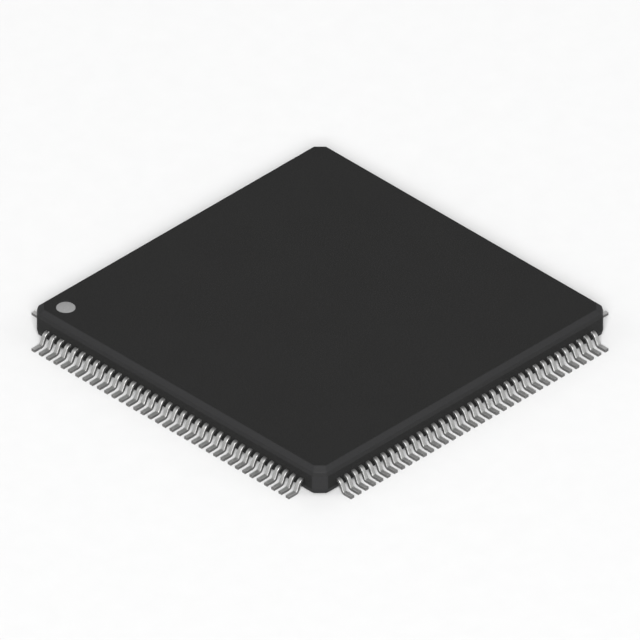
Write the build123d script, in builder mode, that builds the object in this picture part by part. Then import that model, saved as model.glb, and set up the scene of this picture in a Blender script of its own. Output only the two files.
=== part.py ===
"""Integrated circuit in a low square moulded package with gull-wing leads on all four sides.

Millimetres. +Z is up, Z = 0 is the plane that the lead feet stand on, and the middle of
the package is over the origin. Lead one is at the -X +Y corner, on the -X side, and the
leads are counted anticlockwise seen from above.
"""

import os
from math import cos, radians, sin, sqrt, tan

from build123d import *

# Driving dimensions of the lead rows
lead_pitch = 0.5
leads_per_bank = 12
banks_per_side = 3
row_end_margin = 1.25
lead_width = 0.22
lead_thickness = 0.16
lead_exit_top = 0.737
lead_reach = 1.0
shank_angle = 65
upper_bend_radius = 0.17
lower_bend_radius = 0.06
upper_bend_flats = 2

# Driving dimensions of the moulded body
standoff = 0.15
wall_base = 0.40
wall_top = 1.157
shoulder_height = 1.375
body_top = 1.60
draft_angle = 15
shoulder_angle = 45
corner_chamfer = 0.5
corner_round = 0.24
top_corner_chamfer = 0.42
top_corner_round = 0.02
mark_from_side = 1.20
mark_from_end = 1.30
mark_diameter = 1.0
mark_recess = 0.05
mark_thickness = 0.02
ejector_diameter = 1.0
ejector_depth = 0.03
ejector_from_side = 3.5

# Driving dimensions of the pieces inside the body
die_side = 7.0
die_thickness = 0.28
attach_margin = 0.1
attach_thickness = 0.03
paddle_margin = 0.5
paddle_downset = 0.20
tie_bar_width = 0.35
tie_bar_slope = 30
tie_bar_flat = 0.15
tie_bar_cover = 0.7
tip_pitch = 0.23
tip_width = 0.13
tip_gap = 1.2
pad_pitch = 0.18
pad_inset = 0.12
stitch_inset = 0.12
wire_width = 0.03
wire_foot = 0.10
wire_rise = 0.14
wire_peak_share = 0.3

# Sizes that follow from them
leads_per_side = leads_per_bank * banks_per_side
half_side = lead_pitch * (leads_per_side - 1) / 2 + row_end_margin
lead_exit_base = lead_exit_top - lead_thickness
paddle_top = lead_exit_top - paddle_downset
paddle_base = paddle_top - lead_thickness
die_base = paddle_top + attach_thickness
die_top = die_base + die_thickness
paddle_side = die_side + 2 * paddle_margin
tip_reach = paddle_side / 2 + tip_gap
pad_reach = die_side / 2 - pad_inset
stitch_reach = tip_reach + stitch_inset
up = Vector(0, 0, 1)


def row_place(index):
    """Place along the row of the lead with this index, counted from the row's first."""
    return lead_pitch * ((leads_per_side - 1) / 2 - index)


def fan_place(row_y, reach):
    """Place along the row of a lead's middle line, at a reach from the package middle."""
    tip_y = row_y * tip_pitch / lead_pitch
    return tip_y + (row_y - tip_y) * (reach - tip_reach) / (half_side - tip_reach)


def bend(centre, radius, angles):
    """Points round a bend, as flats, at angles from straight up towards the lead's foot."""
    turned = [radians(angle) for angle in angles]
    return [(centre[0] - radius * sin(turn), centre[1] + radius * cos(turn)) for turn in turned]


# Gull wing: out of the wall, down through the upper bend, and flat again at the foot
upper_outer = upper_bend_radius + lead_thickness
lower_outer = lower_bend_radius + lead_thickness
upper_z = lead_exit_top - upper_outer
lower_z = lead_thickness + lower_bend_radius
lean = radians(shank_angle)
bend_run = (upper_outer + lower_bend_radius + (upper_z - lower_z) * cos(lean)) / sin(lean)
upper_centre = (-half_side, upper_z)
lower_centre = (-half_side - bend_run, lower_z)
foot_end = -half_side - lead_reach
bend_steps = [shank_angle * step / upper_bend_flats for step in range(upper_bend_flats + 1)]

with BuildPart() as gull_wing:
    with BuildSketch(Plane.XZ) as gull_profile:
        with BuildLine() as gull_outline:
            Polyline(
                *bend(upper_centre, upper_outer, bend_steps),
                *bend(lower_centre, -lower_bend_radius, (shank_angle, 0)),
                (foot_end, lead_thickness),
                (foot_end, 0),
                *bend(lower_centre, -lower_outer, (0, shank_angle)),
                *bend(upper_centre, upper_bend_radius, reversed(bend_steps)),
                close=True,
            )
        make_face()
    extrude(amount=lead_width / 2, both=True)

# Each bank of leads on the -X side: gull wings outside, tapered inner leads fanning in
bank_leads = []
bank_wires = []
for bank in range(banks_per_side):
    rows = [row_place(bank * leads_per_bank + index) for index in range(leads_per_bank)]
    with BuildPart() as leads:
        with Locations(*[(0, row_y, 0) for row_y in rows]):
            add(gull_wing.part)
        with BuildSketch(Plane.XY.offset(lead_exit_base)) as inner_leads:
            for row_y in rows:
                tip_y = fan_place(row_y, tip_reach)
                with BuildLine():
                    Polyline(
                        (-half_side, row_y - lead_width / 2),
                        (-half_side, row_y + lead_width / 2),
                        (-tip_reach, tip_y + tip_width / 2),
                        (-tip_reach, tip_y - tip_width / 2),
                        close=True,
                    )
                make_face()
        extrude(amount=lead_thickness)
    bank_leads.append(leads.part)

    # A wire rises from its pad near the die's edge and comes down on the lead's tip
    with BuildPart() as wires:
        for row_y in rows:
            pad = Vector(-pad_reach, row_y * pad_pitch / lead_pitch, die_top)
            stitch = Vector(-stitch_reach, fan_place(row_y, stitch_reach), lead_exit_top)
            run = Vector(stitch.X - pad.X, stitch.Y - pad.Y)
            peak = pad + run * wire_peak_share + up * (wire_rise - wire_width / 2)
            stations = (
                (pad, up, wire_foot),
                (peak, run, wire_width),
                (stitch, -up, wire_foot),
            )
            for place, heading, depth in stations:
                with BuildSketch(Plane(place, x_dir=up.cross(run), z_dir=heading)):
                    with BuildLine():
                        Polyline(
                            (-wire_width / 2, -depth / 2),
                            (wire_width / 2, -depth / 2),
                            (0, depth / 2),
                            close=True,
                        )
                    make_face()
            loft(ruled=True)
    bank_wires.append(wires.part)

# Die paddle, lower than the leads, and the tie bars that held it in the lead frame
corner_reach = half_side * sqrt(2) - corner_chamfer / sqrt(2)
paddle_corner = paddle_side / sqrt(2)
slope_start = paddle_corner + tie_bar_flat
slope_end = slope_start + paddle_downset / tan(radians(tie_bar_slope))
tie_bar_end = corner_reach - tie_bar_cover

with BuildPart() as paddle:
    with BuildSketch(Plane.XY.offset(paddle_base)):
        Rectangle(paddle_side, paddle_side)
    extrude(amount=lead_thickness)
    for corner in range(4):
        turned = radians(45 + 90 * corner)
        outward = Vector(cos(turned), sin(turned))
        with BuildSketch(Plane((0, 0, 0), x_dir=outward, z_dir=outward.cross(up))):
            with BuildLine():
                Polyline(
                    (paddle_corner - tie_bar_width, paddle_top),
                    (slope_start, paddle_top),
                    (slope_end, lead_exit_top),
                    (tie_bar_end, lead_exit_top),
                    (tie_bar_end, lead_exit_base),
                    (slope_end, lead_exit_base),
                    (slope_start, paddle_base),
                    (paddle_corner - tie_bar_width, paddle_base),
                    close=True,
                )
            make_face()
    extrude(amount=tie_bar_width / 2, both=True)

# Layer of silver-filled adhesive between the paddle and the die
with BuildPart() as die_attach:
    with BuildSketch(Plane.XY.offset(paddle_top)):
        Rectangle(die_side + 2 * attach_margin, die_side + 2 * attach_margin)
    extrude(amount=attach_thickness)

# Silicon die
with BuildPart() as die:
    with BuildSketch(Plane.XY.offset(die_base)):
        Rectangle(die_side, die_side)
    extrude(amount=die_thickness)

# Light spot on the floor of the round dimple that marks lead one
mark_x = -half_side + mark_from_side
mark_y = half_side - mark_from_end
mark_floor = body_top - mark_recess
with BuildPart() as lead_one_mark:
    with BuildSketch(Plane.XY.offset(mark_floor)):
        with Locations((mark_x, mark_y)):
            Circle(mark_diameter / 2)
    extrude(amount=mark_thickness)

# Moulded body: outline at each height as inset from the widest outline, corner cut and round
draft = tan(radians(draft_angle))
base_inset = (wall_base - standoff) * draft
shoulder_inset = (shoulder_height - wall_top) * draft
top_inset = shoulder_inset + (body_top - shoulder_height) * tan(radians(shoulder_angle))
cut_loss = 2 - sqrt(2)
base_cut = corner_chamfer - base_inset * cut_loss
shoulder_cut = corner_chamfer - shoulder_inset * cut_loss
outlines = (
    (standoff, base_inset, base_cut, corner_round - base_inset),
    (wall_base, 0, corner_chamfer, corner_round),
    (wall_top, 0, corner_chamfer, corner_round),
    (shoulder_height, shoulder_inset, shoulder_cut, corner_round - shoulder_inset),
    (body_top, top_inset, top_corner_chamfer, top_corner_round),
)

ejector_place = half_side - ejector_from_side

with BuildPart() as body:
    for height, inset, cut, round_size in outlines:
        with BuildSketch(Plane.XY.offset(height)) as outline:
            Rectangle(2 * (half_side - inset), 2 * (half_side - inset))
            chamfer(outline.vertices(), length=cut)
            fillet(outline.vertices(), radius=round_size)
    loft(ruled=True)
    with BuildSketch(Plane.XY.offset(body_top)):
        with Locations((mark_x, mark_y)):
            Circle(mark_diameter / 2)
    extrude(amount=-mark_recess, mode=Mode.SUBTRACT)
    with BuildSketch(Plane.XY.offset(standoff)):
        with Locations((-ejector_place, -ejector_place), (ejector_place, ejector_place)):
            Circle(ejector_diameter / 2)
    extrude(amount=ejector_depth, mode=Mode.SUBTRACT)

# Turn the banks to the four sides, and mould the body around everything inside it
os.makedirs("parts", exist_ok=True)
embedded = [paddle.part, die_attach.part, die.part]
for side in range(4):
    for bank in range(banks_per_side):
        first = side * leads_per_side + bank * leads_per_bank + 1
        span = f"{first:03d}_to_{first + leads_per_bank - 1:03d}"
        with BuildPart() as leads:
            add(bank_leads[bank].rotate(Axis.Z, 90 * side))
        leads.part.label = f"leads_{span}"
        export_step(leads.part, f"parts/leads_{span}.step")
        with BuildPart() as wires:
            add(bank_wires[bank].rotate(Axis.Z, 90 * side))
        wires.part.label = f"bond_wires_{span}"
        export_step(wires.part, f"parts/bond_wires_{span}.step")
        embedded += [leads.part, wires.part]

with body:
    add(embedded, mode=Mode.SUBTRACT)

body.part.label = "moulded_body"
export_step(body.part, "parts/moulded_body.step")
paddle.part.label = "die_paddle"
export_step(paddle.part, "parts/die_paddle.step")
die_attach.part.label = "die_attach"
export_step(die_attach.part, "parts/die_attach.step")
die.part.label = "silicon_die"
export_step(die.part, "parts/silicon_die.step")
lead_one_mark.part.label = "lead_one_mark"
export_step(lead_one_mark.part, "parts/lead_one_mark.step")
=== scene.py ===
# %% [markdown]
# An integrated circuit in a square moulded package, dressed for its portrait. The packed
# CAD part gives the places and the overall sizes, and this script adds what a close look at
# the real part shows: the fine matt skin of the moulding, its softly rounded edges, and
# leads with smooth bends and a dull tin finish. It is written as a lesson, one step to a
# cell.

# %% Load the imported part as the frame
import math

import bpy
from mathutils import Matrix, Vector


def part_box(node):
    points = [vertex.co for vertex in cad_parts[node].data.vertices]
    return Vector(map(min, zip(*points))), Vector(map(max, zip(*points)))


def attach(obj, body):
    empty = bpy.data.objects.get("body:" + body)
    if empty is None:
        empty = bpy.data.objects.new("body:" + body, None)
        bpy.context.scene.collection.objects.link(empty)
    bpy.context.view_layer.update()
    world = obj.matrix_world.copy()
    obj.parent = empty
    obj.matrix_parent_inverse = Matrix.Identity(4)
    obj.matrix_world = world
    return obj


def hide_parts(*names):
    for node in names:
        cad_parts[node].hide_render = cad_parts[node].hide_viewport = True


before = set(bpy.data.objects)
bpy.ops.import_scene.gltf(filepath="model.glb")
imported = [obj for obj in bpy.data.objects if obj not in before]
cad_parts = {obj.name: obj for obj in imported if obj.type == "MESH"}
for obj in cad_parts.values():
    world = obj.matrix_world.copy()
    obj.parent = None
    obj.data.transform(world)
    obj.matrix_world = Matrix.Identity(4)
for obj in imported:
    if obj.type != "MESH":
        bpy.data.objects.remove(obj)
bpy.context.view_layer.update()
print("CAD nodes:", len(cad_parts))

# %% [markdown]
# The part is tiny, and Blender's modelling tools lose accuracy on edges of a few hundredths
# of a millimetre when one unit is a metre. So each piece is modelled with one unit as one
# millimetre, and the last step shrinks it a thousandfold and applies that to its mesh. The
# boxes of the CAD nodes give the main sizes. The others, such as the pitch of the leads, are
# written where they are first needed, as the CAD part has them.

# %% Sizes in millimetres
MM = 0.001

body_low, body_high = [[value / MM for value in corner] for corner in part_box("moulded_body")]
bank_low, bank_high = [[value / MM for value in corner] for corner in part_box("leads_001_to_012")]
mark_low, mark_high = [[value / MM for value in corner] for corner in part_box("lead_one_mark")]

half_side = body_high[0]
standoff = body_low[2]
body_top = body_high[2]
foot_end = -bank_low[0]
tip_reach = -bank_high[0]
lead_exit_top = bank_high[2]
print("body side", round(2 * half_side, 3), "over the feet", round(2 * foot_end, 3))

# %% [markdown]
# The photograph is a parallel view along a diagonal of the package: edges that run away to
# either side all climb at 30 degrees, so the camera is orthographic and looks down at
# 35.26 degrees. A millimetre along the picture is 20.54 pixels of the 640, which gives the
# width that the camera takes in. It is aimed at the point that the picture's middle shows.
# The lamps are placed the same way later, by two angles and a distance, so a helper does it.

# %% Camera at the photograph's angle
PICTURE_PIXELS = 640
PIXELS_PER_MM = 20.54
CAMERA_AZIMUTH = math.radians(-45)
CAMERA_ELEVATION = math.atan(1 / math.sqrt(2))
CAMERA_DISTANCE = 120
NEAREST_SEEN = 1
FARTHEST_SEEN = 1000
AIM_HEIGHT = 0.767


def away_from_part(azimuth, elevation, distance):
    """The place in metres at two angles in radians and a distance in millimetres."""
    return (
        distance * MM * math.sin(azimuth) * math.cos(elevation),
        -distance * MM * math.cos(azimuth) * math.cos(elevation),
        distance * MM * math.sin(elevation),
    )


camera_data = bpy.data.cameras.new("camera")
camera_data.type = "ORTHO"
camera_data.ortho_scale = PICTURE_PIXELS / PIXELS_PER_MM * MM
camera_data.clip_start = NEAREST_SEEN * MM
camera_data.clip_end = FARTHEST_SEEN * MM
camera = bpy.data.objects.new("camera", camera_data)
bpy.context.scene.collection.objects.link(camera)
camera.location = away_from_part(CAMERA_AZIMUTH, CAMERA_ELEVATION, CAMERA_DISTANCE)
camera.location.z += AIM_HEIGHT * MM
camera.rotation_euler = (math.pi / 2 - CAMERA_ELEVATION, 0, CAMERA_AZIMUTH)
bpy.context.scene.camera = camera
print("camera sees", round(camera_data.ortho_scale / MM, 2), "mm across")

# %% [markdown]
# A colour is easiest to pick on a screen, as the hex value of a paint chip. Shaders work in
# linear light instead, where twice the number is twice the light, so each hex value goes
# through the standard sRGB curve first.

# %% Colours in linear light
def linear(hex_colour):
    """Linear RGBA for an sRGB colour written as a hex string."""
    channels = []
    for place in (1, 3, 5):
        level = int(hex_colour[place:place + 2], 16) / 255
        if level <= 0.04045:
            channels.append(level / 12.92)
        else:
            channels.append(((level + 0.055) / 1.055) ** 2.4)
    return channels + [1.0]


print("mid grey #808080 in linear light:", round(linear("#808080")[0], 3))

# %% [markdown]
# Materials are built from shader nodes. One helper adds a node, sets its values and plugs
# its inputs, and another starts a material with a Principled shader. A Mix node has several
# sockets of the same name, so they are picked by number, and the numbers get names here. A
# pattern is laid out in the object's own coordinates. Those are metres, so a noise's scale
# is one over the size of its grains in metres.

# %% Helpers for shader nodes
COLOUR_A, COLOUR_B, MIXED_COLOUR = 6, 7, 2
NUMBER_A, NUMBER_B, MIXED_NUMBER = 2, 3, 0


def add_node(tree, kind, settings=None, inputs=None):
    """A new shader node with its settings, and its inputs set to values or plugged in."""
    node = tree.nodes.new(kind)
    for name, value in (settings or {}).items():
        setattr(node, name, value)
    for name, value in (inputs or {}).items():
        if isinstance(value, bpy.types.NodeSocket):
            tree.links.new(value, node.inputs[name])
        else:
            node.inputs[name].default_value = value
    return node


def new_material(name):
    """An empty node material, and its tree with a Principled shader on the output."""
    material = bpy.data.materials.new(name)
    material.use_nodes = True
    tree = material.node_tree
    tree.nodes.clear()
    shader = add_node(tree, "ShaderNodeBsdfPrincipled")
    add_node(tree, "ShaderNodeOutputMaterial", inputs={"Surface": shader.outputs["BSDF"]})
    return material, tree, shader


print("materials that the CAD part came with:", len(bpy.data.materials))

# %% [markdown]
# The body is epoxy moulding compound: a thermoset resin packed with ground silica and tinted
# with carbon black. The mould's large faces are spark-eroded, which leaves a fine, even,
# matt grain of about 0.03 mm on the top and the walls. The narrow bands between them are
# cut with a tool and stay smoother. They are also painted a lighter grey, as painted light
# for the shoulder and the corners, which turn towards the lamps and catch more of their
# light. The body's mesh carries that difference as an attribute. The grain is too fine to
# show from here, so it is drawn at 0.05 mm, and so are the specks of silica that show
# through the skin. Wide, faint clouds are left by the resin's flow.

# %% Moulded epoxy: colours
EPOXY_CLOUD_SIZE = 2.5
EPOXY_GRAIN_SIZE = 0.05

epoxy, tree, shader = new_material("moulded epoxy")
place = add_node(tree, "ShaderNodeTexCoord")
clouds = add_node(
    tree,
    "ShaderNodeTexNoise",
    inputs={
        "Vector": place.outputs["Object"],
        "Scale": 1 / (EPOXY_CLOUD_SIZE * MM),
        "Detail": 3.0,
    },
)
specks = add_node(
    tree,
    "ShaderNodeTexNoise",
    inputs={
        "Vector": place.outputs["Object"],
        "Scale": 1 / (EPOXY_GRAIN_SIZE * MM),
        "Detail": 3.0,
    },
)
flow = add_node(
    tree,
    "ShaderNodeMix",
    {"data_type": "RGBA"},
    {
        "Factor": clouds.outputs["Fac"],
        COLOUR_A: linear("#191919"),
        COLOUR_B: linear("#1f1f1f"),
    },
)
bared = add_node(
    tree,
    "ShaderNodeMapRange",
    inputs={"Value": specks.outputs["Fac"], "From Min": 0.48, "From Max": 0.75, "To Max": 0.5},
)
skin = add_node(
    tree,
    "ShaderNodeMix",
    {"data_type": "RGBA"},
    {
        "Factor": bared.outputs["Result"],
        COLOUR_A: flow.outputs[MIXED_COLOUR],
        COLOUR_B: linear("#3a3a39"),
    },
)
# Painted light: the tooled bands get a lighter grey than the skin, standing in for the light that
# the shoulder and the corners catch from the lamps.
painted_light_tone = add_node(
    tree,
    "ShaderNodeMix",
    {"data_type": "RGBA"},
    {
        "Factor": specks.outputs["Fac"],
        COLOUR_A: linear("#262626"),
        COLOUR_B: linear("#2d2d2e"),
    },
)
band = add_node(tree, "ShaderNodeAttribute", {"attribute_name": "smooth_band_painted_light"})
colour = add_node(
    tree,
    "ShaderNodeMix",
    {"data_type": "RGBA"},
    {
        "Factor": band.outputs["Fac"],
        COLOUR_A: skin.outputs[MIXED_COLOUR],
        COLOUR_B: painted_light_tone.outputs[MIXED_COLOUR],
    },
)
tree.links.new(colour.outputs[MIXED_COLOUR], shader.inputs["Base Color"])
print("epoxy colours:", len(tree.nodes), "nodes")

# %% [markdown]
# Epoxy has a glossy resin's refractive index, but the pits of the grain swallow most of
# what it would mirror, so its specular level is set far below the usual half. The clouds
# make the skin a little more or less rough, the tooled bands are smoother than the skin,
# and a bump eight microns deep stands for the grain.

# %% Moulded epoxy: gloss and grain
EPOXY_GRAIN_DEPTH = 0.008

shader.inputs["IOR"].default_value = 1.55
shader.inputs["Specular IOR Level"].default_value = 0.08
rough_skin = add_node(
    tree,
    "ShaderNodeMapRange",
    inputs={"Value": clouds.outputs["Fac"], "To Min": 0.56, "To Max": 0.66},
)
roughness = add_node(
    tree,
    "ShaderNodeMix",
    {"data_type": "FLOAT"},
    {"Factor": band.outputs["Fac"], NUMBER_A: rough_skin.outputs["Result"], NUMBER_B: 0.5},
)
grain = add_node(
    tree,
    "ShaderNodeTexNoise",
    inputs={
        "Vector": place.outputs["Object"],
        "Scale": 1 / (EPOXY_GRAIN_SIZE * MM),
        "Detail": 2.0,
    },
)
bump = add_node(
    tree,
    "ShaderNodeBump",
    inputs={
        "Height": grain.outputs["Fac"],
        "Strength": 1.0,
        "Distance": EPOXY_GRAIN_DEPTH * MM,
    },
)
tree.links.new(roughness.outputs[MIXED_NUMBER], shader.inputs["Roughness"])
tree.links.new(bump.outputs["Normal"], shader.inputs["Normal"])
print("epoxy in all:", len(tree.nodes), "nodes")

# %% [markdown]
# The leads are stamped from a thin copper alloy sheet and electroplated with matt tin about
# ten microns thick. Matt tin has a fine crystal grain, so it shines softly, in a nearly
# neutral grey that varies a little from patch to patch. The sides and ends, where the punch
# sheared the sheet, are rougher under the tin. They are also painted a darker grey: at the
# foot's end for the cut metal, and on the sides as painted shade, standing in for the shade
# in the narrow gaps between the leads. The crystals are a few microns across, drawn here at
# 0.04 mm so that they show.

# %% Tin plated copper: colours
TIN_PATCH_SIZE = 0.6

tin, tree, shader = new_material("tin plated copper")
shader.inputs["Metallic"].default_value = 1.0
place = add_node(tree, "ShaderNodeTexCoord")
patches = add_node(
    tree,
    "ShaderNodeTexNoise",
    inputs={
        "Vector": place.outputs["Object"],
        "Scale": 1 / (TIN_PATCH_SIZE * MM),
        "Detail": 2.0,
    },
)
bright = add_node(
    tree,
    "ShaderNodeMix",
    {"data_type": "RGBA"},
    {
        "Factor": patches.outputs["Fac"],
        COLOUR_A: linear("#a4a4a3"),
        COLOUR_B: linear("#bbbbba"),
    },
)
# Painted shade: the sheared faces get a darker grey, standing in for the shade between the leads;
# at the foot's end it also stands for the cut metal.
sheared_painted_shade = add_node(tree, "ShaderNodeAttribute", {"attribute_name": "sheared_painted_shade"})
colour = add_node(
    tree,
    "ShaderNodeMix",
    {"data_type": "RGBA"},
    {
        "Factor": sheared_painted_shade.outputs["Fac"],
        COLOUR_A: bright.outputs[MIXED_COLOUR],
        COLOUR_B: linear("#80807f"),
    },
)
tree.links.new(colour.outputs[MIXED_COLOUR], shader.inputs["Base Color"])
print("tin colours:", len(tree.nodes), "nodes")

# %% [markdown]
# Each crystal lies at its own angle, so the gloss changes from one to the next. On the
# sheared faces the tin is rough all over.

# %% Tin plated copper: gloss and crystals
TIN_CRYSTAL_SIZE = 0.04
TIN_CRYSTAL_DEPTH = 0.004

crystals = add_node(
    tree,
    "ShaderNodeTexNoise",
    inputs={
        "Vector": place.outputs["Object"],
        "Scale": 1 / (TIN_CRYSTAL_SIZE * MM),
        "Detail": 2.0,
    },
)
soft_gloss = add_node(
    tree,
    "ShaderNodeMapRange",
    inputs={"Value": crystals.outputs["Fac"], "To Min": 0.36, "To Max": 0.52},
)
roughness = add_node(
    tree,
    "ShaderNodeMix",
    {"data_type": "FLOAT"},
    {"Factor": sheared_painted_shade.outputs["Fac"], NUMBER_A: soft_gloss.outputs["Result"], NUMBER_B: 0.6},
)
bump = add_node(
    tree,
    "ShaderNodeBump",
    inputs={
        "Height": crystals.outputs["Fac"],
        "Strength": 0.7,
        "Distance": TIN_CRYSTAL_DEPTH * MM,
    },
)
tree.links.new(roughness.outputs[MIXED_NUMBER], shader.inputs["Roughness"])
tree.links.new(bump.outputs["Normal"], shader.inputs["Normal"])
print("tin in all:", len(tree.nodes), "nodes")

# %% [markdown]
# Five finishes need only two tones and a roughness that follow one grain. The first is the
# light grey ink of the spot at the corner of lead one, which dries with a faint mottle and
# stays a little smoother than the moulding. The others are sealed inside the moulding: the
# stamped copper alloy of the die paddle, the silver-filled adhesive on it, the polished
# silicon of the die, and drawn gold wire. Nobody sees those in the picture, but the part is
# reused cut open and taken apart, so they are made like the rest.
#
# Rolled copper shines softly in a warm pinkish brown, the adhesive is a dull silver grey,
# polished silicon is a dark and faintly blue mirror, and drawn gold is bright and yellow.
# The grains of the copper and the gold and the flakes of the silver are a few hundredths of
# a millimetre across at most, and are drawn larger so that they show. Silicon is a single
# crystal with no grain, so only its tone drifts a little over its face. All five keep the
# shader's own refractive index of 1.5, which suits ink and is left alone on metals.

# %% Ink, and the finishes inside the moulding
def simple_finish(name, dark, light, metallic, grain_size, detail, smoothest, roughest):
    """A material whose two tones and roughness follow a noise, its grains in millimetres."""
    material, tree, shader = new_material(name)
    shader.inputs["Metallic"].default_value = metallic
    place = add_node(tree, "ShaderNodeTexCoord")
    grain = add_node(
        tree,
        "ShaderNodeTexNoise",
        inputs={
            "Vector": place.outputs["Object"],
            "Scale": 1 / (grain_size * MM),
            "Detail": detail,
        },
    )
    colour = add_node(
        tree,
        "ShaderNodeMix",
        {"data_type": "RGBA"},
        {"Factor": grain.outputs["Fac"], COLOUR_A: linear(dark), COLOUR_B: linear(light)},
    )
    roughness = add_node(
        tree,
        "ShaderNodeMapRange",
        inputs={"Value": grain.outputs["Fac"], "To Min": smoothest, "To Max": roughest},
    )
    tree.links.new(colour.outputs[MIXED_COLOUR], shader.inputs["Base Color"])
    tree.links.new(roughness.outputs["Result"], shader.inputs["Roughness"])
    return material


ink = simple_finish(
    "light grey marking ink", "#767676", "#8b8b8b",
    metallic=0.0, grain_size=0.12, detail=3.0, smoothest=0.45, roughest=0.6,
)
copper = simple_finish(
    "stamped copper alloy", "#b87552", "#cf8f69",
    metallic=1.0, grain_size=0.3, detail=2.0, smoothest=0.3, roughest=0.42,
)
adhesive = simple_finish(
    "silver filled adhesive", "#8d8d8a", "#b5b5b0",
    metallic=0.6, grain_size=0.08, detail=2.0, smoothest=0.5, roughest=0.7,
)
silicon = simple_finish(
    "polished silicon", "#4a4d55", "#5d6069",
    metallic=1.0, grain_size=1.5, detail=2.0, smoothest=0.06, roughest=0.12,
)
gold = simple_finish(
    "drawn gold wire", "#e6b04c", "#f2c668",
    metallic=1.0, grain_size=0.1, detail=2.0, smoothest=0.18, roughest=0.28,
)
print("materials:", [material.name for material in bpy.data.materials])

# %% [markdown]
# Blender's operators work on whatever is selected. These two helpers do by code what a hand
# does with clicks before each step: clear the selection, or select one piece alone.

# %% Helpers for selecting pieces
def nothing_selected():
    """Object mode, with nothing selected."""
    if bpy.context.object and bpy.context.object.mode != "OBJECT":
        bpy.ops.object.mode_set(mode="OBJECT")
    bpy.ops.object.select_all(action="DESELECT")


def only(piece):
    """Object mode, with this piece alone selected and active."""
    nothing_selected()
    piece.select_set(True)
    bpy.context.view_layer.objects.active = piece


nothing_selected()
print("selected before the modelling:", len(bpy.context.selected_objects))

# %% [markdown]
# In edit mode the operators work on the faces or edges that are picked. Faces are picked by
# where they are or where they look, and edges by where their two ends are. A face looks
# along an axis when nearly all of its normal does.

# %% Helpers for picking faces and edges
FACING = 0.9


def nothing_picked(piece, kind):
    """Object mode, with none of the piece's faces or edges picked, ready to pick some."""
    only(piece)
    bpy.ops.object.mode_set(mode="EDIT")
    bpy.ops.mesh.select_mode(type=kind)
    bpy.ops.mesh.select_all(action="DESELECT")
    bpy.ops.object.mode_set(mode="OBJECT")


def pick_faces(piece, wanted):
    """Edit mode, with the faces picked whose middle and normal pass the test."""
    nothing_picked(piece, "FACE")
    for face in piece.data.polygons:
        face.select = bool(wanted(face.center, face.normal))
    bpy.ops.object.mode_set(mode="EDIT")


def pick_edges(piece, wanted):
    """Edit mode, with the edges picked whose two ends pass the test."""
    nothing_picked(piece, "EDGE")
    points = [vertex.co for vertex in piece.data.vertices]
    for edge in piece.data.edges:
        edge.select = bool(wanted(*[points[end] for end in edge.vertices]))
    bpy.ops.object.mode_set(mode="EDIT")


print("a face looks along an axis within", round(math.degrees(math.acos(FACING))), "degrees")

# %% [markdown]
# The moulding starts as a plain block with the size of its widest stretch, the upright
# wall. Its four upright edges are cut back by half a millimetre, as the mould's corners
# are, and the eight edges that this leaves are rounded. Bevel takes the distance from the
# old edge to the round's start. On a fold of 45 degrees that is the round's radius times
# the tangent of half the fold.

# %% Body: the wall and its corners
WALL_BASE = 0.40
WALL_TOP = 1.157
CORNER_CHAMFER = 0.5
CORNER_ROUND = 0.24
CORNER_FOLD = math.radians(45)

wall_height = WALL_TOP - WALL_BASE
nothing_selected()
bpy.ops.mesh.primitive_cube_add(
    size=1,
    location=(0, 0, (WALL_BASE + WALL_TOP) / 2),
    scale=(2 * half_side, 2 * half_side, wall_height),
)
body = bpy.context.object
bpy.ops.object.transform_apply(location=True, rotation=True, scale=True)
pick_edges(body, lambda start, end: abs(start.z - end.z) > wall_height / 2)
bpy.ops.mesh.bevel(offset=CORNER_CHAMFER, segments=1)
pick_edges(body, lambda start, end: abs(start.z - end.z) > wall_height / 2)
bpy.ops.mesh.bevel(offset=CORNER_ROUND * math.tan(CORNER_FOLD / 2), segments=4)
only(body)
print("wall:", len(body.data.vertices), "vertices")

# %% [markdown]
# A moulded part has to leave its mould, so the sides lean in by 15 degrees above and below
# the wall, and a 45 degree shoulder leads up to the top. Inset does each draft in one move:
# it draws the cap face inwards by one distance and lifts it by another. An inset as wide as
# the shoulder would fold the round corners over themselves. So the shoulder is a narrow
# inset with the full lift, and scaling the new cap face brings its sides to their place.

# %% Body: drafts and shoulder
SHOULDER_HEIGHT = 1.375
SHOULDER_FIRST_INSET = 0.066
DRAFT = math.tan(math.radians(15))

shoulder_rise = body_top - SHOULDER_HEIGHT
shoulder_half = half_side - (SHOULDER_HEIGHT - WALL_TOP) * DRAFT
top_half = shoulder_half - shoulder_rise

pick_faces(body, lambda centre, normal: normal.z > FACING)
bpy.ops.mesh.inset(thickness=half_side - shoulder_half, depth=SHOULDER_HEIGHT - WALL_TOP)
bpy.ops.mesh.inset(thickness=SHOULDER_FIRST_INSET, depth=shoulder_rise)
narrower = top_half / (shoulder_half - SHOULDER_FIRST_INSET)
bpy.ops.transform.resize(value=(narrower, narrower, 1))
pick_faces(body, lambda centre, normal: normal.z < -FACING)
bpy.ops.mesh.inset(thickness=(WALL_BASE - standoff) * DRAFT, depth=WALL_BASE - standoff)
only(body)
print("body height", round(max(vertex.co.z for vertex in body.data.vertices), 3))

# %% [markdown]
# The mould's ejector pins and the pin that forms the lead one mark leave shallow round
# dimples. A cylinder stands where each pin was, and a Boolean modifier takes it away. Each
# cylinder runs on outside the body, so that no two faces coincide.

# %% Body: dimples
PIN_SIDES = 48
PIN_EXTRA = 1
MARK_RECESS = 0.05
EJECTOR_RADIUS = 0.5
EJECTOR_DEPTH = 0.03
EJECTOR_FROM_SIDE = 3.5

mark_radius = (mark_high[0] - mark_low[0]) / 2
mark_x = (mark_high[0] + mark_low[0]) / 2
mark_y = (mark_high[1] + mark_low[1]) / 2
mark_floor = body_top - MARK_RECESS
ejector_floor = standoff + EJECTOR_DEPTH
ejector_place = half_side - EJECTOR_FROM_SIDE


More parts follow.
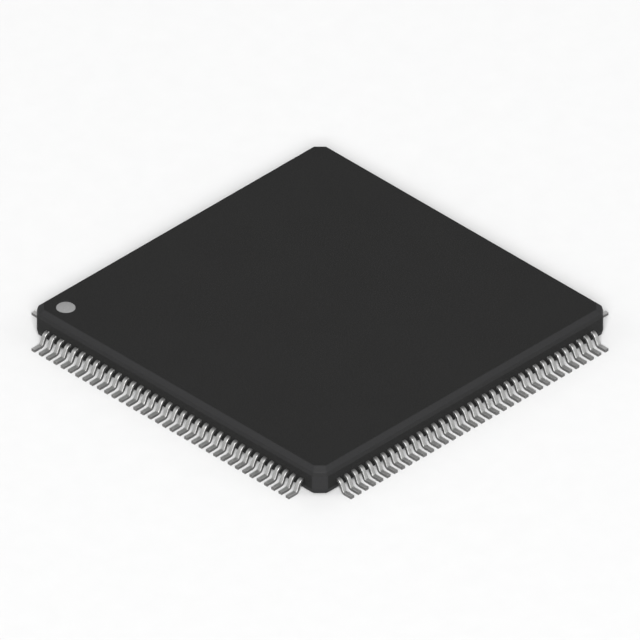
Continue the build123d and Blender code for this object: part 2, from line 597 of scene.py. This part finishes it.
def press_dimple(piece, x, y, radius, low, high):
    """Takes a round pin, standing between two heights, out of the piece."""
    nothing_selected()
    bpy.ops.mesh.primitive_cylinder_add(
        vertices=PIN_SIDES, radius=radius, depth=high - low, location=(x, y, (low + high) / 2)
    )
    pin = bpy.context.object
    only(piece)
    cut = piece.modifiers.new("pin", "BOOLEAN")
    cut.operation = "DIFFERENCE"
    cut.solver = "EXACT"
    cut.object = pin
    bpy.ops.object.modifier_apply(modifier=cut.name)
    bpy.data.objects.remove(pin)


press_dimple(body, mark_x, mark_y, mark_radius, mark_floor, body_top + PIN_EXTRA)
for place in (-ejector_place, ejector_place):
    press_dimple(body, place, place, EJECTOR_RADIUS, standoff - PIN_EXTRA, ejector_floor)
print("body with dimples:", len(body.data.polygons), "faces")

# %% [markdown]
# No moulded edge is truly sharp, so a Bevel modifier rounds every fold of 15 degrees and
# more and leaves the finer facets of the round corners alone. Hardened normals keep the
# large faces flat to the eye. The rounds stay under half the depth of the ejector marks, or
# those at a mark's rim and floor would run into each other.

# %% Body: soft edges
EDGE_ROUND = 0.014
EDGE_SEGMENTS = 3
SMALLEST_FOLD = math.radians(13)

only(body)
bpy.ops.object.shade_smooth()
edges = body.modifiers.new("edges", "BEVEL")
edges.width = EDGE_ROUND
edges.segments = EDGE_SEGMENTS
edges.limit_method = "ANGLE"
edges.angle_limit = SMALLEST_FOLD
edges.harden_normals = True
bpy.ops.object.modifier_apply(modifier=edges.name)
print("body with soft edges:", len(body.data.polygons), "faces")

# %% [markdown]
# The bands that the mould maker cut with a tool are told by the way their faces look. The
# top, the base and the walls look straight along an axis and keep the eroded grain. The
# drafts tilt a little up or down and are partly tooled, and the shoulder and the corners
# are tooled fully. Each face keeps that amount for the material, which makes the face
# smoother and paints it lighter by as much, as painted light for faces that turn towards
# the lamps.

# %% Body: tooled bands, painted lighter as painted light
STRAIGHT_ALONG_AXIS = 0.97
DRAFT_TILT = (0.1, 0.5)
DRAFT_TOOLED_AND_PAINTED_LIGHT = 0.6


def mark_faces(piece, name, amount):
    """Keeps an amount from 0 to 1 on each face, worked out from its normal, for a material."""
    attribute = piece.data.attributes.new(name, "FLOAT", "FACE")
    for face, kept in zip(piece.data.polygons, attribute.data):
        kept.value = amount(face.normal)


def tooled_and_painted_light_share(normal):
    """How tooled a face of the body is, which is also how much painted light lightens it."""
    if max(abs(normal.x), abs(normal.y), abs(normal.z)) > STRAIGHT_ALONG_AXIS:
        return 0.0
    return DRAFT_TOOLED_AND_PAINTED_LIGHT if DRAFT_TILT[0] < abs(normal.z) < DRAFT_TILT[1] else 1.0


# The same share paints the tilted faces lighter, as painted light.
mark_faces(body, "smooth_band_painted_light", tooled_and_painted_light_share)
kept_shares = [round(kept.value, 1) for kept in body.data.attributes["smooth_band_painted_light"].data]
print("faces by share:", {share: kept_shares.count(share) for share in (0.0, DRAFT_TOOLED_AND_PAINTED_LIGHT, 1.0)})

# %% [markdown]
# Every finished piece goes through one helper. It shrinks the piece to its real size in its
# mesh, gives it its material, and fits it to the frame: it rides on the part, and it takes
# the place of the CAD nodes that it shows.

# %% The body's place in the frame
def finish_piece(piece, name, material, slot, *nodes):
    """Shrinks a piece from millimetres to metres in its mesh, and fits it to the frame."""
    only(piece)
    piece.scale = [MM * size for size in piece.scale]
    piece.location = [MM * place for place in piece.location]
    bpy.ops.object.transform_apply(location=True, rotation=True, scale=True)
    piece.name = name
    piece.data.name = name
    piece.data.materials.clear()
    piece.data.materials.append(material)
    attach(piece, "root")
    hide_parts(*nodes)
    print(name, len(piece.data.polygons), "faces")


finish_piece(body, "moulded_body_skin", epoxy, "moulded_epoxy", "moulded_body")

# %% [markdown]
# One lead is made the way the press makes it. A punch first cuts a flat strip out of copper
# alloy sheet, which rounds the two long edges on the side where it enters. The strip is
# narrower at its inner end, so that 144 of them fit round the die. The moulding hides this
# stretch, and the rest grows out of its end face. A lead is repeated 144 times, so it
# stays light: one small flat for each rolled edge.

# %% One lead: the flat strip
LEAD_WIDTH = 0.22
LEAD_THICKNESS = 0.16
TIP_WIDTH = 0.13
ROLLED_EDGE = 0.02

strip_middle = lead_exit_top - LEAD_THICKNESS / 2
nothing_selected()
bpy.ops.mesh.primitive_cube_add(
    size=1,
    location=(-(half_side + tip_reach) / 2, 0, strip_middle),
    scale=(half_side - tip_reach, LEAD_WIDTH, LEAD_THICKNESS),
)
lead = bpy.context.object
bpy.ops.object.transform_apply(location=True, rotation=True, scale=True)
pick_edges(
    lead, lambda start, end: abs(start.x - end.x) > LEAD_WIDTH and start.z > strip_middle
)
bpy.ops.mesh.bevel(offset=ROLLED_EDGE, segments=1)
pick_faces(lead, lambda centre, normal: normal.x > FACING)
bpy.ops.transform.resize(value=(1, TIP_WIDTH / LEAD_WIDTH, 1))
only(lead)
print("strip:", len(lead.data.polygons), "faces")

# %% [markdown]
# A forming tool then bends the strip down through 65 degrees where it leaves the body, and
# back to lie flat as the foot. Spin does both bends: it carries the selected end face round
# a centre and leaves a smooth curve behind. Between them the face is extruded along the
# shank. The run from the body to the foot follows from the two radii and the angle. Spin
# can turn faces inside out, so at the end all normals are made to point outwards, once
# points that lie on each other are merged. There are none here.

# %% One lead: bends, shank and foot
SHANK_ANGLE = math.radians(65)
UPPER_RADIUS = 0.17
UPPER_STEPS = 3
LOWER_RADIUS = 0.06
LOWER_STEPS = 2
MERGE_DISTANCE = 0.0005

upper_outer = UPPER_RADIUS + LEAD_THICKNESS
upper_centre_z = lead_exit_top - upper_outer
lower_centre_z = LEAD_THICKNESS + LOWER_RADIUS
drop = upper_centre_z - lower_centre_z
bend_radii = upper_outer + LOWER_RADIUS
bend_run = (bend_radii + drop * math.cos(SHANK_ANGLE)) / math.sin(SHANK_ANGLE)
shank = (bend_run - bend_radii * math.sin(SHANK_ANGLE)) / math.cos(SHANK_ANGLE)
foot_start = -half_side - bend_run

pick_faces(lead, lambda centre, normal: normal.x < -FACING)
bpy.ops.mesh.spin(
    steps=UPPER_STEPS, angle=SHANK_ANGLE, center=(-half_side, 0, upper_centre_z), axis=(0, 1, 0)
)
bpy.ops.mesh.extrude_region_move(
    TRANSFORM_OT_translate={
        "value": (-shank * math.cos(SHANK_ANGLE), 0, -shank * math.sin(SHANK_ANGLE))
    }
)
bpy.ops.mesh.spin(
    steps=LOWER_STEPS, angle=-SHANK_ANGLE, center=(foot_start, 0, lower_centre_z), axis=(0, 1, 0)
)
bpy.ops.mesh.extrude_region_move(
    TRANSFORM_OT_translate={"value": (-foot_end - foot_start, 0, 0)}
)
bpy.ops.mesh.select_all(action="SELECT")
bpy.ops.mesh.remove_doubles(threshold=MERGE_DISTANCE)
bpy.ops.mesh.normals_make_consistent(inside=False)
only(lead)
heights = [vertex.co.z for vertex in lead.data.vertices]
print("lead from z", round(min(heights), 4), "to", round(max(heights), 4))

# %% [markdown]
# The bends are shaded smooth, and the true edges stay crisp. The two sides and the foot's
# end, where the punch sheared the sheet, are marked for the material, which makes them
# rougher and paints them darker: painted shade on the sides, for the shade between the
# leads, and the cut metal at the foot's end. The shank looks outwards nearly as much as
# the foot's end does, so that test is stricter.

# %% One lead: shading, and sheared faces with painted shade
SMOOTH_ANGLE = math.radians(40)
FOOT_END_FACING = 0.99

bpy.ops.object.shade_smooth_by_angle(angle=SMOOTH_ANGLE)
# This mark also paints the sides darker, as painted shade between the leads.
mark_faces(
    lead,
    "sheared_painted_shade",
    lambda normal: float(abs(normal.y) > FACING or normal.x < -FOOT_END_FACING),
)
print("lead:", len(lead.data.polygons), "faces")

# %% [markdown]
# On each side the leads sit in one row at an even pitch, in three banks of twelve as the
# CAD part has them. Outside the body they run parallel, and inside they fan in towards the
# die, so a copy's tip is slid sideways before the copy goes to its place in the row. Twelve
# copies are joined into a bank.

# %% One side: copies of the lead, joined into three banks
BANKS_PER_SIDE = 3
LEADS_PER_BANK = 12
LEADS_PER_SIDE = BANKS_PER_SIDE * LEADS_PER_BANK
LEAD_PITCH = 0.5
TIP_PITCH = 0.23
TIP_DEPTH = 0.001


def lead_copy(row_y):
    """A copy of the lead with its own mesh, at its place in the row on the -X side."""
    only(lead)
    bpy.ops.object.duplicate()
    copy = bpy.context.object
    pick_faces(copy, lambda centre, normal: centre.x > -tip_reach - TIP_DEPTH)
    bpy.ops.transform.translate(value=(0, row_y * (TIP_PITCH / LEAD_PITCH - 1), 0))
    only(copy)
    copy.location.y = row_y
    return copy


banks = []
for bank in range(BANKS_PER_SIDE):
    row = [bank * LEADS_PER_BANK + index for index in range(LEADS_PER_BANK)]
    copies = [lead_copy(LEAD_PITCH * ((LEADS_PER_SIDE - 1) / 2 - index)) for index in row]
    nothing_selected()
    for copy in copies:
        copy.select_set(True)
    bpy.context.view_layer.objects.active = copies[0]
    bpy.ops.object.join()
    banks.append(copies[0])
bpy.data.objects.remove(lead)
print("banks on one side:", len(banks))

# %% [markdown]
# Each bank is copied and turned to the other three sides, and each of the twelve takes the
# place of the CAD node with the same leads.

# %% All sides: the twelve banks
SIDES = 4


def bank_name(side, bank):
    """The name of the CAD node that holds this bank."""
    first = side * LEADS_PER_SIDE + bank * LEADS_PER_BANK + 1
    return f"leads_{first:03d}_to_{first + LEADS_PER_BANK - 1:03d}"


for side in range(SIDES):
    for bank, source in enumerate(banks):
        only(source)
        if side < SIDES - 1:
            bpy.ops.object.duplicate()
        piece = bpy.context.object
        only(piece)
        bpy.ops.object.transform_apply(location=True, rotation=True, scale=True)
        piece.rotation_euler.z = math.radians(90 * side)
        node = bank_name(side, bank)
        finish_piece(piece, node + "_formed", tin, "tin_plated_copper", node)

# %% [markdown]
# The lead one mark is a pad of ink, stamped onto the floor of its dimple. Ink creeps a
# little at its rim, so the disc has a low rounded edge. It stops just short of the dimple's
# wall, so a thin dark ring of moulding shows round it.

# %% Lead one mark
INK_MARGIN = 0.025
INK_SIDES = 64
INK_ROUND = 0.012
INK_ROUND_SEGMENTS = 3

mark_height = mark_high[2] - mark_low[2]
mark_middle = mark_low[2] + mark_height / 2
nothing_selected()
bpy.ops.mesh.primitive_cylinder_add(
    vertices=INK_SIDES,
    radius=mark_radius - INK_MARGIN,
    depth=mark_height,
    location=(mark_x, mark_y, mark_middle),
)
mark = bpy.context.object
bpy.ops.object.transform_apply(location=True, rotation=True, scale=True)
pick_edges(mark, lambda start, end: min(start.z, end.z) > mark_middle)
bpy.ops.mesh.bevel(offset=INK_ROUND, segments=INK_ROUND_SEGMENTS)
only(mark)
bpy.ops.object.shade_smooth_by_angle(angle=SMOOTH_ANGLE)
finish_piece(mark, "lead_one_mark_ink", ink, "mark_ink", "lead_one_mark")

# %% [markdown]
# The pieces sealed inside keep the CAD's own shapes, because those are flat plates and thin
# wires whose form is already right. They only get their finishes.

# %% Finishes for the pieces that stay as CAD
INNER_FINISHES = {
    "die_paddle": copper,
    "die_attach": adhesive,
    "silicon_die": silicon,
    "bond_wires": gold,
}
for name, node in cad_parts.items():
    for start, finish in INNER_FINISHES.items():
        if name.startswith(start):
            for material_slot in node.material_slots:
                material_slot.material = finish
print("dressed:", sum(name.startswith(tuple(INNER_FINISHES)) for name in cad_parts), "nodes")

# %% [markdown]
# The part stands on a plain pale floor, like a sheet of drawing card, that runs far past the
# picture on all sides. Card is very matt, so it keeps one tone from every side, with a faint
# mottle of fibres. It lies two microns under the feet, so that no faces coincide.

# %% Floor
FLOOR_SIZE = 2000
FLOOR_DROP = 0.002
FIBRE_SIZE = 1.2

nothing_selected()
bpy.ops.mesh.primitive_grid_add(
    x_subdivisions=4, y_subdivisions=4, size=FLOOR_SIZE * MM, location=(0, 0, -FLOOR_DROP * MM)
)
floor = bpy.context.object
floor.name = "floor"
card, tree, shader = new_material("pale card")
shader.inputs["Roughness"].default_value = 0.85
shader.inputs["Specular IOR Level"].default_value = 0.05
place = add_node(tree, "ShaderNodeTexCoord")
fibres = add_node(
    tree,
    "ShaderNodeTexNoise",
    inputs={"Vector": place.outputs["Object"], "Scale": 1 / (FIBRE_SIZE * MM), "Detail": 4.0},
)
tone = add_node(
    tree,
    "ShaderNodeMix",
    {"data_type": "RGBA"},
    {
        "Factor": fibres.outputs["Fac"],
        COLOUR_A: linear("#d8d8d8"),
        COLOUR_B: linear("#dcdcdc"),
    },
)
tree.links.new(tone.outputs[MIXED_COLOUR], shader.inputs["Base Color"])
floor.data.materials.append(card)
print("floor:", FLOOR_SIZE, "mm wide")

# %% [markdown]
# The light is a plain soft studio. The key lamp hangs behind the camera, so its shadows fall
# where the camera can't see them and the floor between the leads stays pale. A wide one
# overhead softens what is left. Metal shows what it mirrors: the bends and shanks of the two
# near rows of leads mirror a lamp at each side, and the tops of their feet mirror one on the
# far side. All of them hang over three metres away, so that the floor is lit evenly.

# %% Lamps
LAMP_DISTANCE = 3200


def soft_lamp(name, azimuth, elevation, size, power):
    """A square lamp that faces the part: angles in degrees, size in millimetres, watts."""
    lamp = bpy.data.lights.new(name, "AREA")
    lamp.shape = "SQUARE"
    lamp.size = size * MM
    lamp.energy = power
    lamp_object = bpy.data.objects.new(name, lamp)
    bpy.context.scene.collection.objects.link(lamp_object)
    azimuth, elevation = math.radians(azimuth), math.radians(elevation)
    lamp_object.location = away_from_part(azimuth, elevation, LAMP_DISTANCE)
    lamp_object.rotation_euler = (math.pi / 2 - elevation, 0, azimuth)
    print(name, power, "W")


soft_lamp("key", azimuth=-45, elevation=36, size=1280, power=158)
soft_lamp("overhead", azimuth=0, elevation=88, size=2400, power=9.6)
soft_lamp("far side", azimuth=135, elevation=38, size=2080, power=14.4)
soft_lamp("left side", azimuth=-133, elevation=28, size=2400, power=18)
soft_lamp("right side", azimuth=43, elevation=28, size=2400, power=18)

# %% [markdown]
# The sky is an even grey, so that the metal has something plain to mirror. A camera without
# perspective that looks along the floor starts its lowest rays underneath it, where they
# would see the grey as a band. So the half of the sky below the horizon is as pale as the
# lit floor. The floor hides that half from the part, so it gives no light. The Standard view
# shows colours as they are, with no film look, as the photograph does.

# %% Sky and picture tone
SKY_GREY = linear("#818181")
BELOW_FLOOR = linear("#fcfcfc")

world = bpy.data.worlds.new("studio")
bpy.context.scene.world = world
world.use_nodes = True
sky = world.node_tree
direction = add_node(sky, "ShaderNodeTexCoord")
height = add_node(sky, "ShaderNodeSeparateXYZ", inputs={"Vector": direction.outputs["Generated"]})
above = add_node(
    sky, "ShaderNodeMath", {"operation": "GREATER_THAN"}, {0: height.outputs["Z"], 1: 0.0}
)
tone = add_node(
    sky,
    "ShaderNodeMix",
    {"data_type": "RGBA"},
    {"Factor": above.outputs["Value"], COLOUR_A: BELOW_FLOOR, COLOUR_B: SKY_GREY},
)
sky.links.new(tone.outputs[MIXED_COLOUR], sky.nodes["Background"].inputs["Color"])
bpy.context.scene.view_settings.view_transform = "Standard"
print("sky above the horizon in linear light:", round(SKY_GREY[0], 3))
